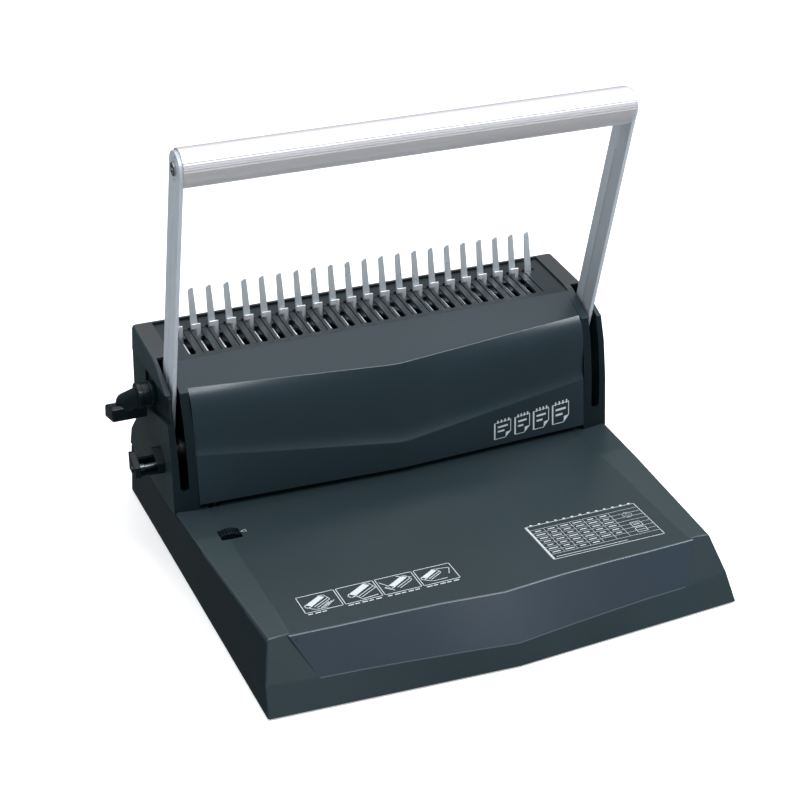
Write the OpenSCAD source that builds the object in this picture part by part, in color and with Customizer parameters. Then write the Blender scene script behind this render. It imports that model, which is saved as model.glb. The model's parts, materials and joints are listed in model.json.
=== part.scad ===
// Comb binding machine: a desktop punch and comb opener with a fold-down handle.
// Millimetres. X to the right, Y to the back, Z up. The origin is on the resting
// surface, on the machine's centre plane, under the front face of the tall body.

/* [Comb] */
// Pitch of the punched holes and of the comb's rings
pitch = 14.2875; // [14:0.0125:14.3]
// Number of rings, of holes and of opening hooks
rings = 21; // [17:2:21]
// Height of the static comb fingers above the comb deck
finger_h = 32; // [28:0.5:34]
// How far the hooks pull the rings open
hook_travel = 32; // [28:1:32]
// Swing of the comb opening lever
lever_swing = 114; // [100:1:120]

/* [Punch] */
// Long side of a punched hole
pin_w = 8; // [7:0.5:8]
// Short side of a punched hole
pin_d = 3; // [2.5:0.5:3]
// Stroke of the punch pins
stroke = 15; // [13:0.5:15]
// Height of the paper throat
throat_h = 5.3; // [4.5:0.1:5.5]

/* [Handle] */
// Forward swing of the handle
handle_swing = 72; // [60:1:72]
// Outside diameter of the grip bar
bar_d = 28; // [26:1:28]
// Width of each handle arm
arm_w = 24; // [22:1:24]
// Thickness of each handle arm
arm_t = 2.8; // [2:0.2:3]

/* [Base] */
// Width of the base at its foot
base_w = 366.4; // [366:0.2:368]
// Height of the work deck above the bottom edge of the base
deck_z = 45; // [44:0.5:46]
// Height that the rubber feet lift the base
foot_h = 1.5; // [1.2:0.1:2.5]
// Wall of the moulded covers
wall = 2.5; // [2:0.1:2.5]

/* [Hidden] */
$fn = 48;

black = [0.16, 0.19, 0.21];
steel = [0.74, 0.77, 0.8];

// Base outline, half widths and depths
base_half = base_w / 2;
front_y = -200;
nose_y = -211;
back_y = 135;
deck_front = [158.3, -174.3];
deck_back = [155.3, 4.5];
panel_step = 2.4;
rim_front = [172.7, -172.5, deck_z];
rim_mid = [180.6, -54, deck_z + 1.8];
rim_back = [base_half, 4.5, deck_z + 3];

// Body outline
strip_x = 163;
body_back = 108;
seam_z = 139.5;
body_bottom = deck_z + throat_h;

// Comb deck plane: it falls towards the front
deck_tilt = 4.7;
comb_front = [51.6, 152.7];
slot_w = 6;
slot_len = 41;
first_finger = -(rings / 2) * pitch;
finger_y = 89;
finger_lean = 10.4;

// Handle geometry: the pivot, the bar's axis and the slots that the arms pass through
pivot = [52, 75];
bar_axis = [-17, 327.5];
arm_x = 171.6;
arm_lean = atan2(pivot[0] - bar_axis[0], bar_axis[1] - pivot[1]);
arm_len = norm(bar_axis - pivot);
arm_slot = [170, 177];
shaft_r = 5;

// The crank's throw turns the handle's swing into the punch stroke
crank_r = stroke / (2 * sin(handle_swing / 2));
crank_x = 146;
bracket_x = 152.5;
punch_y = 30.5;
rest_gap = 1.2;
spring_at = [30, 127];

// Comb lever: its axis, and the crank that pulls the hook plate
lever_axis = [57, 124];
lever_r = hook_travel / (2 * sin(lever_swing / 2));
lever_shaft_r = 3;
hook_z = 143.5;
hook_y = 85.6;

// Handle lock pin, and where it meets the arm when the handle is down
lock_axis = [33, 75.9];
lock_r = 2.5;
lock_hole = rot2(lock_axis - pivot, -handle_swing);

// Edge guide wheel
wheel_axis = [-153.7, 33.3];
wheel_r = 14;
wheel_y = -33;

// A 2-D vector turned by an angle
function rot2(v, a) = [v[0] * cos(a) - v[1] * sin(a), v[0] * sin(a) + v[1] * cos(a)];
// A list of points and their mirror images across the centre plane
function sym(l) = [for (p = l) each (p[0] == 0 ? [p] : [p, [-p[0], p[1], p[2]]])];
// Heights of the comb deck's top along Y
function comb_z(y) = comb_front[1] + (y - comb_front[0]) * tan(deck_tilt);
function finger_x(i) = first_finger + i * pitch;
function hole_x(i) = (i - (rings - 1) / 2) * pitch;

// Everything stands on the feet
module lift() { translate([0, 0, foot_h]) children(); }
// Convex solid through a list of points
module shape(pts) { hull() polyhedron(pts, [[for (i = [0:len(pts) - 1]) i]]); }
// Box between two corners
module block(lo, hi) { translate(lo) cube(hi - lo); }
module rod_x(x0, x1, y, z, r) { translate([x0, y, z]) rotate([0, 90, 0]) cylinder(r = r, h = x1 - x0); }
module rod_y(x, y0, y1, z, r) { translate([x, y1, z]) rotate([90, 0, 0]) cylinder(r = r, h = y1 - y0); }
module rod_z(x, y, z0, z1, r) { translate([x, y, z0]) cylinder(r = r, h = z1 - z0); }
// Children on both sides of the centre plane
module both() { children(); mirror([1, 0, 0]) children(); }
// An outline drawn in Y and Z, extruded along X from x0
module slab_x(x0, t) { translate([x0, 0, 0]) rotate([90, 0, 90]) linear_extrude(t) children(); }

// ---- Base -------------------------------------------------------------------

module base_solid() {
    shape(sym([[base_half, front_y, 0], [0, nose_y, 0], [base_half, back_y, 0],
               [180.5, -188.8, 18.7], [0, -207.2, 17], rim_front,
               [deck_front[0], deck_front[1] + panel_step, deck_z],
               [0, -182.8 + panel_step, deck_z],
               rim_mid, rim_back, [base_half, 20, deck_z], [182.6, 129, deck_z]]));
    // front panel, proud at its top and flush at its lower corners
    shape(sym([[deck_front[0], deck_front[1], deck_z], [0, -182.8, deck_z],
               [142.2, -192.8, 18.2], [0, -207.4, 17],
               [deck_front[0], -168, deck_z], [0, -168, deck_z],
               [142.2, -184, 18.2], [0, -184, 18.2]]));
}

module base_cavity() {
    in_z = deck_z - wall;
    shape(sym([[base_half - wall, front_y + 3.5, -1], [0, nose_y + 4, -1],
               [base_half - wall, back_y - wall, -1], [177.8, -185.6, 18], [0, -203.6, 17],
               [169.6, -170, in_z], [0, -179.4, in_z],
               [base_half - wall, 3, in_z], [182.6 - wall, 126.5, in_z]]));
}

// The deck is a shallow tray: its floor is flat and its rims rise towards the body
module deck_pocket() {
    rims = [rim_front, rim_mid, rim_back];
    shape(sym([for (p = [[deck_back[0], deck_back[1], deck_z],
                         [deck_front[0], deck_front[1], deck_z], [0, -183.2, deck_z],
                         each rims, each [for (r = rims) r + [0, 0, 20]],
                         [0, -183.2, deck_z + 20]]) p]));
}

screw_spots = [[120, -150], [120, -30], [168, 60]];

module base_cover() {
    color(black) lift() difference() {
        union() {
            difference() {
                base_solid();
                base_cavity();
            }
            // bosses for the bottom plate's screws
            for (p = screw_spots) both() rod_z(p[0], p[1], 2.4, deck_z - 1, 5);
        }
        for (p = screw_spots) both() rod_z(p[0], p[1], 2, 12, 2);
        deck_pocket();
        block([-200, deck_back[1], deck_z], [200, 140, deck_z + 10]);
        // opening for the die
        block([-160.2, 19.8, deck_z - 4], [160.2, 44.2, deck_z + 1]);
        // mouth of the chip tray
        block([-152, 100, 3], [152, 140, 38]);
        // slots for the edge guide's wheel and for its tab
        rod_y(wheel_axis[0], wheel_y - 9, wheel_y + 4.6, wheel_axis[1], wheel_r + 0.5);
        block([-156, 7, deck_z - 4], [-146.5, 17, deck_z + 1]);
    }
}

foot_spots = [[160, -160], [160, 105]];
foot_r = 9;

module bottom_plate() {
    color([0.12, 0.13, 0.14]) lift() difference() {
        shape(sym([for (z = [0.8, 2.4]) each [[179.8, -195, z], [0, -205, z], [179.8, 131.5, z]]]));
        for (p = screw_spots) both() rod_z(p[0], p[1], 0, 3, 2);
    }
}

module rubber_feet() {
    color([0.08, 0.08, 0.08]) lift() {
        both() for (p = foot_spots) rod_z(p[0], p[1], -foot_h, 0.8, foot_r);
        // middle foot under the punch, on the origin
        rod_z(0, 0, -foot_h, 0.8, foot_r);
    }
}

module base_screws() {
    color(steel) lift() for (p = screw_spots) both() {
        rod_z(p[0], p[1], 0.1, 0.8, 3.6);
        rod_z(p[0], p[1], 0.8, 10, 2);
    }
}

// ---- Body covers --------------------------------------------------------------

// Full-width lid above the seam
module lid_solid(t) {
    shape(sym([[181.5 - t, 18 + t, seam_z - t], [181.2 - t, 30 + t / 2, 145.5 - t],
               [181 - t, 48, 153.2 - t], [180.9 - t, 56, 154.8 - t], [180.4 - t, body_back - t, 159.2 - t],
               [180.4 - t, body_back - t, seam_z - t]]));
}

// Front of the body between the cheeks: a folded brow whose creases bow forward
module brow_solid(t) {
    low = body_bottom - t;
    // the shell is open towards the cheeks
    side = t == 0 ? strip_x : strip_x + 1;
    shape(sym([[side, 20.3 + t, seam_z], [side, 9 + t, 89.8],
               [side, 5 + t, low], [0, -2.3 + t, low], [0, -3.5 + t, 73.6],
               [0, 10.6 + t, 134.6 - t / 2], [side - 4, 22 + t, 141.3 - t],
               [0, 48, 153.2 - t], [side, 48, 153.2 - t],
               [side, 60 + 4 * t, low], [side, 60 + 4 * t, seam_z]]));
}

module arm_slots(z0) {
    w = arm_slot[1] - arm_slot[0];
    both() {
        block([arm_slot[0], -12, z0], [arm_slot[1], 53, 170]);
        rod_y(arm_slot[0] + w / 2, -12, 12, z0, w / 2);
    }
}

module top_cover() {
    color([0.24, 0.26, 0.27]) lift() difference() {
        union() {
            lid_solid(0);
            intersection() {
                brow_solid(0);
                block([-170, -10, 0], [170, 50, 170]);
            }
        }
        lid_solid(wall);
        brow_solid(wall);
        block([-165, 46, 145], [165, 104, 170]);
        arm_slots(seam_z - 20);
    }
}

// One side cover, drawn for the right-hand side
module cheek_solid(t) {
    inner = t == 0 ? strip_x + 0.2 : strip_x - 5;
    low = t == 0 ? deck_z : deck_z - 1;
    high = t == 0 ? seam_z - 0.2 : seam_z + 1;
    shape([for (x = [[0, inner], [1, 0]]) each
           [[x[0] == 0 ? x[1] : base_half - t, 5.4 + t, low],
            [x[0] == 0 ? x[1] : 182.4 - t, 8.6 + t, 90],
            [x[0] == 0 ? x[1] : 182 - t, 13.6 + t, 120],
            [x[0] == 0 ? x[1] : 181.5 - t, 19.6 + t, high],
            [x[0] == 0 ? x[1] : base_half - 0.6 - t, body_back - t, low],
            [x[0] == 0 ? x[1] : 180.5 - t, body_back - t, high]]]);
}

module right_cheek() {
    color(black) lift() difference() {
        cheek_solid(0);
        cheek_solid(wall);
        arm_slots(66.5);
    }
}

// Outline of the lever's recess, seen from the side; its floor falls to the back
recess = [[4, seam_z + 1], [4, 119.5], [20, 117], [58, 109], [68, 108], [71, 111], [71, seam_z + 1]];

module left_cheek() {
    color(black) lift() difference() {
        union() {
            mirror([1, 0, 0]) difference() {
                cheek_solid(0);
                cheek_solid(wall);
            }
            // back of the recess
            slab_x(-180.6, 3.5) polygon([[17, 137], [14, 116], [60, 105], [74, 105], [74, seam_z - 0.2],
                                         [21, seam_z - 0.2]]);
        }
        slab_x(-190, 10.7) polygon(recess);
        arm_slots(66.5);
        rod_x(-190, -160, lever_axis[0], lever_axis[1], lever_shaft_r + 0.4);
        rod_x(-190, -160, lock_axis[0], lock_axis[1], lock_r + 0.05);
    }
}

module hump(t, y0) {
    shape(sym([[182.4 - t, 129 - t, deck_z - t], [181.6 - t, 125.5 - t, 60 - t / 2],
               [180.6 - t, y0, 79 - t], [180.6 - t, y0, deck_z - t]]));
}

// Back wall with a hump over the drawer's housing
module rear_cover() {
    y0 = body_back - wall;
    color(black) lift() difference() {
        union() {
            difference() {
                hump(0, body_back + 0.1);
                hump(wall, body_back + 0.1 + wall);
            }
            block([-strip_x, y0, deck_z], [strip_x, body_back + 0.2, seam_z - 0.2]);
        }
        block([-190, y0 - 1, deck_z - 5], [190, 140, deck_z]);
    }
}

// ---- Comb opener ----------------------------------------------------------------

module comb_deck() {
    color([0.3, 0.31, 0.31]) lift() difference() {
        translate([0, comb_front[0], comb_front[1]]) rotate([deck_tilt, 0, 0])
            difference() {
                block([-164.8, -5.4, -2.4], [164.8, 52.2, 0]);
                for (i = [0:rings - 1]) {
                    x = finger_x(i);
                    // step beside the slot, and the fine line that bounds it
                    block([x + 4, 0, -0.5], [x + 10, 37, 1]);
                    block([x + 9.6, 0, -1.1], [x + 10.3, 37, 1]);
                }
            }
        for (i = [0:rings - 1]) {
            x = finger_x(i);
            block([x - 1.3, comb_front[0] + slot_w / 2, 145], [x - 1.3 + slot_w, comb_front[0] + slot_len, 165]);
            rod_z(x - 1.3 + slot_w / 2, comb_front[0] + slot_w / 2, 145, 165, slot_w / 2);
        }
        for (i = [0:rings])
            block([finger_x(i) - 5.2, finger_y - 1.9, 145], [finger_x(i) + 5.2, finger_y + 1.8, 165]);
    }
}

module finger() {
    polygon([[-3.1, -5.2], [3.1, -5.2], [2.9, 0], [2.1, finger_h], [0.4, finger_h],
             [-2.1, finger_h - 1.6], [-2.9, 0]]);
}

// Upright fingers on a rail that spans the side frames under the deck
module comb_fingers() {
    color(steel) lift() {
        for (i = [0:rings])
            translate([finger_x(i), finger_y, comb_z(finger_y)]) rotate([90 - finger_lean, 0, 0])
                translate([0, 0, -0.7]) linear_extrude(1.4) finger();
        block([-160, 87.4, 148.6], [160, 104, 150.4]);
    }
}

module slot_guides() {
    color(steel) lift() for (i = [0:rings - 1])
        shape([for (x = [-1.3, 0.5]) each
               [[finger_x(i) + x, 55.5, 147.2], [finger_x(i) + x, 55.5, 151.6],
                [finger_x(i) + x, 72, 152.6], [finger_x(i) + x, 76, 147.2]]]);
}

// Sliding plate; a bracket at each end takes the crank's pin between two prongs
module hook_plate() {
    fork_y = lever_axis[0] + hook_travel / 2;
    gap = 3.8;
    color([0.62, 0.65, 0.68]) lift() {
        difference() {
            block([-156.2, fork_y + 5, hook_z], [156.2, 100, hook_z + 2]);
            for (x = [-120:40:120]) rod_z(x, 93, hook_z - 1, hook_z + 3, 3);
        }
        both() slab_x(150, 3) polygon([[fork_y - gap - 2, 127.8], [fork_y + gap + 2.4, 127.8],
                                       [fork_y + gap + 2.4, hook_z + 0.5], [fork_y + gap, hook_z + 0.5],
                                       [fork_y + gap, 130.8], [fork_y - gap, 130.8],
                                       [fork_y - gap, 143.8], [fork_y - gap - 2, 143.8]]);
    }
}

module moving_hooks() {
    color([0.86, 0.88, 0.9]) lift() for (i = [0:rings - 1]) {
        x = finger_x(i);
        block([x + 1, hook_y, hook_z + 2], [x + 4.2, hook_y + 1.5, 158.4]);
        block([x - 3, hook_y, 156.4], [x + 4.2, hook_y + 1.5, 160.4]);
    }
}

module slide_rails() {
    color([0.7, 0.7, 0.68]) lift() both() difference() {
        block([154.3, 45, 140.5], [159.8, 91.5, 148]);
        block([150, 44, hook_z - 0.3], [156.5, 92, hook_z + 2.3]);
    }
}

// Lever at rest: hub, rounded neck, and a grip that slopes down to the back
module comb_lever() {
    y = lever_axis[0];
    z = lever_axis[1];
    color([0.1, 0.1, 0.11]) lift() difference() {
        union() {
            rod_x(-193.5, -179.5, y, z, 10);
            hull() {
                rod_x(-193.4, -190.5, y, z, 9);
                rod_x(-206, -190.5, y + 12, z - 11, 8);
                block([-206, y + 4, z - 18], [-190.5, y + 20, z - 15]);
            }
            shape([for (x = [-211.5, -184.4]) each
                   [[x, y + 3.5, z - 21], [x, y + 3.5, z - 10.5], [x, y + 5.5, z - 9],
                    [x, y + 24.5, z - 15], [x, y + 26.8, z - 17.5], [x, y + 28, z - 27.3]]]);
        }
        rod_x(-192, -170, y, z, lever_shaft_r);
    }
}

module lever_shaft() {
    color(steel) lift() rod_x(-192, 157, lever_axis[0], lever_axis[1], lever_shaft_r);
}

module lever_cranks() {
    a = lever_swing / 2;
    tip = lever_axis + lever_r * [sin(a), cos(a)];
    color([0.6, 0.62, 0.65]) lift() both() {
        difference() {
            slab_x(144, 5) hull() {
                translate(lever_axis) circle(7);
                translate(tip) circle(4);
            }
            rod_x(143, 150, lever_axis[0], lever_axis[1], lever_shaft_r);
        }
        rod_x(149, 153.5, tip[0], tip[1], 2.5);
    }
}

module lever_bushes() {
    color([0.6, 0.62, 0.65]) lift() both() difference() {
        rod_x(158.5, 164.5, lever_axis[0], lever_axis[1], 6);
        rod_x(158, 165, lever_axis[0], lever_axis[1], lever_shaft_r + 0.05);
    }
}

// ---- Frame and punch --------------------------------------------------------------

module side_frame() {
    difference() {
        union() {
            slab_x(160, 2.5) polygon([[18, deck_z + 0.1], [104, deck_z + 0.1], [104, 150.4],
                                      [87.4, 150.4], [84, 147], [44, 140], [26, 132], [18, 112]]);
            block([150, 62, deck_z + 0.1], [160, 104, deck_z + 2.6]);
        }
        rod_x(159, 164, pivot[0], pivot[1], 8);
        rod_x(159, 164, lever_axis[0], lever_axis[1], 6);
        for (y = [70, 96]) rod_z(155, y, deck_z - 1, deck_z + 4, 2.2);
    }
}

module left_frame() { color(steel) lift() mirror([1, 0, 0]) side_frame(); }
module right_frame() { color(steel) lift() side_frame(); }

module frame_screws() {
    color([0.55, 0.56, 0.58]) lift() both() for (y = [70, 96]) {
        rod_z(155, y, deck_z + 2.6, deck_z + 4.6, 3.8);
        rod_z(155, y, deck_z + 0.05, deck_z + 2.6, 2.2);
    }
}

module punch_holes(z0, z1) {
    for (i = [0:rings - 1])
        block([hole_x(i) - pin_w / 2 - 0.1, punch_y - pin_d / 2 - 0.1, z0],
              [hole_x(i) + pin_w / 2 + 0.1, punch_y + pin_d / 2 + 0.1, z1]);
}

module die_plate() {
    color(steel) lift() difference() {
        block([-159.9, 20, deck_z - 6], [159.9, 44, deck_z]);
        punch_holes(deck_z - 7, deck_z + 1);
    }
}

module guide_plate() {
    color(steel) lift() difference() {
        block([-159.9, 20, body_bottom], [159.9, 44, body_bottom + 5.7]);
        punch_holes(body_bottom - 1, body_bottom + 7);
    }
}

module throat_spacers() {
    color(steel) lift() both() block([156, 20, deck_z], [159.9, 44, body_bottom]);
}

module paper_stop() {
    color([0.5, 0.52, 0.55]) lift() block([-150, 36, deck_z + 0.05], [150, 39, body_bottom]);
}

module shaft_bushes() {
    color([0.6, 0.62, 0.65]) lift() both() difference() {
        rod_x(158.5, 165, pivot[0], pivot[1], 8);
        rod_x(158, 166, pivot[0], pivot[1], shaft_r + 0.05);
    }
}

module spring_posts() {
    color([0.6, 0.62, 0.65]) lift() both() rod_x(151, 160, spring_at[0], spring_at[1], 1.6);
}

module pressure_bar() {
    z0 = body_bottom + rest_gap + 20.5;
    color([0.6, 0.62, 0.65]) lift() {
        block([-156.5, 23.5, z0], [156.5, 34, z0 + 12]);
        both() difference() {
            block([bracket_x, 34, z0 + 1], [156.5, 46.3, 92]);
            translate([0, 0, pivot[1] + crank_r * sin(handle_swing / 2)])
                block([bracket_x - 1, 36.4, -2.9], [158, 44.5, 2.9]);
        }
        both() block([bracket_x, 27, z0 + 12], [156.5, 34, 92]);
    }
}

module punch_pins() {
    tip = body_bottom + rest_gap;
    color([0.82, 0.84, 0.86]) lift() for (i = [0:rings - 1])
        translate([hole_x(i), punch_y, tip]) rotate([90, 0, 0]) translate([0, 0, -pin_d / 2])
            linear_extrude(pin_d) polygon([[-pin_w / 2, 0], [0, 1.4], [pin_w / 2, 0],
                                           [pin_w / 2, 20.5], [-pin_w / 2, 20.5]]);
}

// Round-wire extension spring as a swept polyhedron
function coil_ring(c, r, a, w, n) = [for (k = [0:n - 1]) let (b = 360 * k / n)
    c + [(r + w * cos(b)) * cos(a), (r + w * cos(b)) * sin(a), w * sin(b)]];

module coil(r, w, h, turns, steps, n) {
    m = turns * steps;
    pts = [for (s = [0:m]) each coil_ring([0, 0, w + (h - 2 * w) * s / m], r, 360 * s / steps, w, n)];
    side = [for (s = [0:m - 1]) for (k = [0:n - 1])
            [s * n + k, s * n + (k + 1) % n, (s + 1) * n + (k + 1) % n, (s + 1) * n + k]];
    polyhedron(pts, concat([[for (k = [n - 1:-1:0]) k]], side, [[for (k = [0:n - 1]) m * n + k]]));
}

module return_springs() {
    color([0.7, 0.72, 0.74]) lift() both() translate([154.5, spring_at[0], 92.05])
        coil(3, 0.6, spring_at[1] - 1.65 - 92.05, 9, 12, 5);
}

// ---- Handle --------------------------------------------------------------------

module arm_outline() {
    square_w = arm_w / 2;
    circle(arm_w / 2);
    translate([-square_w, 0]) square([arm_w, arm_len]);
    translate([0, arm_len]) circle(arm_w / 2 + 0.6);
}

// One arm, drawn for the right-hand side; its outline stands on the pivot
module arm() {
    hole_local = rot2(lock_hole, -arm_lean);
    slab_x(arm_x, arm_t) translate(pivot) rotate(arm_lean) difference() {
        arm_outline();
        circle(shaft_r);
        translate(hole_local) circle(lock_r + 0.4);
        translate([0, arm_len]) circle(2.6);
        for (d = [-9, 9]) translate([0, arm_len + d]) circle(1.3);
    }
}

// Long stamped channel in a face of an arm
module arm_channel(x0, depth) {
    slab_x(x0, depth) translate(pivot) rotate(arm_lean) {
        translate([-4.2, 34]) square([6.4, arm_len - 34 - 42]);
        translate([-1, arm_len - 42]) circle(3.2);
    }
}

module handle_arm() {
    difference() {
        arm();
        arm_channel(arm_x - 0.1, 0.7);
        arm_channel(arm_x + arm_t - 0.6, 0.7);
    }
}

module left_arm() { color([0.66, 0.72, 0.75]) lift() mirror([1, 0, 0]) handle_arm(); }
module right_arm() { color([0.66, 0.72, 0.75]) lift() handle_arm(); }

module handle_shaft() {
    color(steel) lift() rod_x(-177.4, 177.4, pivot[0], pivot[1], shaft_r);
}

module drive_cranks() {
    a = handle_swing / 2;
    tip = pivot + crank_r * [-cos(a), sin(a)];
    color([0.6, 0.62, 0.65]) lift() both() {
        difference() {
            slab_x(crank_x, 5.9) hull() {
                translate(pivot) circle(9);
                translate(tip) circle(4);
            }
            rod_x(crank_x - 1, 153, pivot[0], pivot[1], shaft_r);
        }
        rod_x(crank_x + 5.9, 156.5, tip[0], tip[1], 2.5);
    }
}

// Hollow extruded grip: fine ribs on its front, a lip underneath, a screw boss inside
module bar_profile() {
    r = bar_d / 2;
    difference() {
        circle(r);
        circle(r - 2.4);
        for (a = [150, 158, 166, 174]) translate(r * [cos(a), sin(a)]) circle(0.55);
        translate(r * [cos(232), sin(232)]) circle(0.8);
    }
    difference() {
        union() {
            square([2.2, 2 * r - 4], center = true);
            circle(5);
        }
        circle(2.1);
    }
}

module handle_bar() {
    color([0.9, 0.9, 0.91]) lift() slab_x(-arm_x, 2 * arm_x) translate(bar_axis) bar_profile();
}

module handle_screws() {
    color([0.8, 0.82, 0.84]) lift() both() {
        difference() {
            rod_x(arm_x + arm_t, arm_x + arm_t + 1.6, bar_axis[0], bar_axis[1], 5);
            block([arm_x + arm_t + 0.8, bar_axis[0] - 3.2, bar_axis[1] - 0.5],
                  [arm_x + arm_t + 2, bar_axis[0] + 3.2, bar_axis[1] + 0.5]);
            block([arm_x + arm_t + 0.8, bar_axis[0] - 0.5, bar_axis[1] - 3.2],
                  [arm_x + arm_t + 2, bar_axis[0] + 0.5, bar_axis[1] + 3.2]);
        }
        rod_x(arm_x - 18, arm_x + arm_t, bar_axis[0], bar_axis[1], 2.1);
    }
}

// ---- Handle lock -----------------------------------------------------------------

// Two ears on a floor; the ears carry the pin
module lock_bracket() {
    ear = [[25, 72], [42, 72], [42, 86.5], [38, 87.5], [31, 83], [25, 80.5]];
    color([0.1, 0.1, 0.11]) lift() difference() {
        union() {
            slab_x(-206, 4.5) polygon(ear);
            slab_x(-188.6, 7) polygon(ear);
            block([-206, 25, 72], [-181.6, 42, 72.6]);
            block([-206, 39.5, 72], [-181.6, 42, 80]);
        }
        mirror([1, 0, 0]) cheek_solid(0);
        rod_x(-210, -180, lock_axis[0], lock_axis[1], lock_r + 0.05);
    }
}

module lock_pin() {
    color([0.85, 0.87, 0.88]) lift() {
        rod_x(-207, -177.8, lock_axis[0], lock_axis[1], lock_r);
        difference() {
            rod_x(-201, -197.2, lock_axis[0], lock_axis[1], 3.2);
            rod_x(-202, -196, lock_axis[0], lock_axis[1], lock_r);
        }
    }
}

// ---- Edge guide ------------------------------------------------------------------

module edge_wheel() {
    x = wheel_axis[0];
    z = wheel_axis[1];
    color([0.13, 0.14, 0.15]) lift() {
        difference() {
            rod_y(x, wheel_y - 4, wheel_y + 4, z, wheel_r);
            for (k = [0:35]) translate([x, 0, z]) rotate([0, 10 * k, 0])
                block([wheel_r - 0.8, wheel_y - 5, -0.5], [wheel_r + 1, wheel_y + 5, 0.5]);
        }
        rod_y(x, wheel_y - 13.5, wheel_y - 4, z, 2.5);
        rod_y(x, wheel_y + 4, wheel_y + 13.8, z, 2.5);
        rod_y(x, wheel_y + 13.8, wheel_y + 16, z, 7.5);
        rod_y(x, wheel_y + 16, wheel_y + 19, z + 5, 1.5);
    }
}

// Two lugs under the deck that carry the wheel's stub shafts
module wheel_cradle() {
    x = wheel_axis[0];
    z = wheel_axis[1];
    color(black) lift() difference() {
        for (y = [wheel_y - 13, wheel_y + 7.5])
            block([x - 5, y, z - 5], [x + 5, y + 3, deck_z - wall]);
        rod_y(x, wheel_y - 14, wheel_y + 13, z, 2.55);
    }
}

// The guide slides in X on the die's front edge; its tab stands in the throat
module edge_guide() {
    x = wheel_axis[0];
    z = wheel_axis[1];
    color([0.13, 0.14, 0.15]) lift() {
        difference() {
            block([x - 5.5, wheel_y + 16.4, z + 0.4], [x + 5.5, wheel_y + 19, z + 8.6]);
            block([x - 1.75, wheel_y + 16, z - 1], [x + 1.75, wheel_y + 20, z + 7.8]);
        }
        block([x - 5.5, wheel_y + 19, z + 4], [x + 5.5, 16, z + 8.6]);
        block([x + 1.4, 8, z + 8.6], [x + 3.4, 16, deck_z + 4.6]);
    }
}

// ---- Chip tray --------------------------------------------------------------------

// Drawer that collects the punched chips and slides out at the back
module chip_tray() {
    color([0.18, 0.2, 0.22]) lift() difference() {
        union() {
            block([-150, 12, 3.4], [150, 128, 35]);
            shape(sym([[151.6, 126.8, 3.4], [151.6, 134.4, 3.4], [151.6, 126.8, 37.6], [151.6, 131.6, 37.6]]));
        }
        block([-148, 14, 5.4], [148, 126, 40]);
        // finger scoop in the drawer's face
        translate([0, 140, 24]) rotate([90, 0, 0]) intersection() {
            translate([-32, -12, 0]) cube([64, 20, 20]);
            translate([0, 34, 0]) cylinder(r = 46, h = 10.5);
        }
    }
}

base_cover();
bottom_plate();
rubber_feet();
base_screws();
top_cover();
left_cheek();
right_cheek();
rear_cover();
comb_deck();
comb_fingers();
slot_guides();
left_frame();
right_frame();
frame_screws();
die_plate();
guide_plate();
throat_spacers();
paper_stop();
shaft_bushes();
lever_bushes();
spring_posts();
slide_rails();
lock_bracket();
handle_shaft();
drive_cranks();
left_arm();
right_arm();
handle_bar();
handle_screws();
pressure_bar();
punch_pins();
return_springs();
comb_lever();
lever_shaft();
lever_cranks();
hook_plate();
moving_hooks();
lock_pin();
edge_wheel();
wheel_cradle();
edge_guide();
chip_tray();
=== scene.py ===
import json
import math

import bmesh
import bpy
from mathutils import Matrix, Vector


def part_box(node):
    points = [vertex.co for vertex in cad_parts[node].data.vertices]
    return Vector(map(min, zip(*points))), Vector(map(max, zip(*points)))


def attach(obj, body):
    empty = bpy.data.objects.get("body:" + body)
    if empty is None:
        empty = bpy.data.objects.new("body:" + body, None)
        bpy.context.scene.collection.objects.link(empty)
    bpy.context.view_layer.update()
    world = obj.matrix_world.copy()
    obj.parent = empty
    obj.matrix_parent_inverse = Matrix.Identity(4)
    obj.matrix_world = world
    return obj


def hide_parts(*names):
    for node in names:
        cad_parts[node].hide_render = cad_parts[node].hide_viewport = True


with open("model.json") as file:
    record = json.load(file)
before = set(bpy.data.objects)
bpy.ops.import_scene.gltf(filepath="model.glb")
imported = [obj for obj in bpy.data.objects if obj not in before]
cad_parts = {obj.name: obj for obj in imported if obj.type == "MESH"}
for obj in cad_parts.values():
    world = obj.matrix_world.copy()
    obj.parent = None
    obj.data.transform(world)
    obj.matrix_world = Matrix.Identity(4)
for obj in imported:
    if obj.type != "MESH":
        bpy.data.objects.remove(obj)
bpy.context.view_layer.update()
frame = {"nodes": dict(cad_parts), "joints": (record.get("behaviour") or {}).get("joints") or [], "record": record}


# Lengths are millimetres unless a comment says metres. Heights are measured from the base's
# bottom edge, which the feet lift off the table.
MM = 0.001
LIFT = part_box("base_cover")[0][2] / MM
DECK_Z = 45.0


def at(x, y, z):
    """A point given in millimetres, in the frame's metres."""
    return Vector((x * MM, y * MM, (z + LIFT) * MM))


def lerp(a, b, t):
    return a + (b - a) * t


def axis_of(joint):
    """A point on a joint's axis, in millimetres."""
    x, y, z = next(j["pos_m"] for j in frame["joints"] if j["name"] == joint)
    return Vector((x / MM, y / MM, z / MM - LIFT))


def middle_of(node):
    """The middle of a CAD node's box, in millimetres."""
    low, high = (Vector(corner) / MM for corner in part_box(node))
    return (low + high) / 2 - Vector((0.0, 0.0, LIFT))


HANDLE_AXIS = axis_of("handle_swing")
LEVER_AXIS = axis_of("lever_pull")
WHEEL_AXIS = axis_of("wheel_turn")
BAR_AXIS = middle_of("handle_bar")


# ---- Materials ---------------------------------------------------------------


# Inputs and output of a colour Mix node
MIX_FACTOR, MIX_A, MIX_B, MIX_RESULT = 0, 6, 7, 2
# Noise rarely leaves this middle part of its range
NOISE_LOW, NOISE_HIGH = 0.2, 0.8


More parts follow.
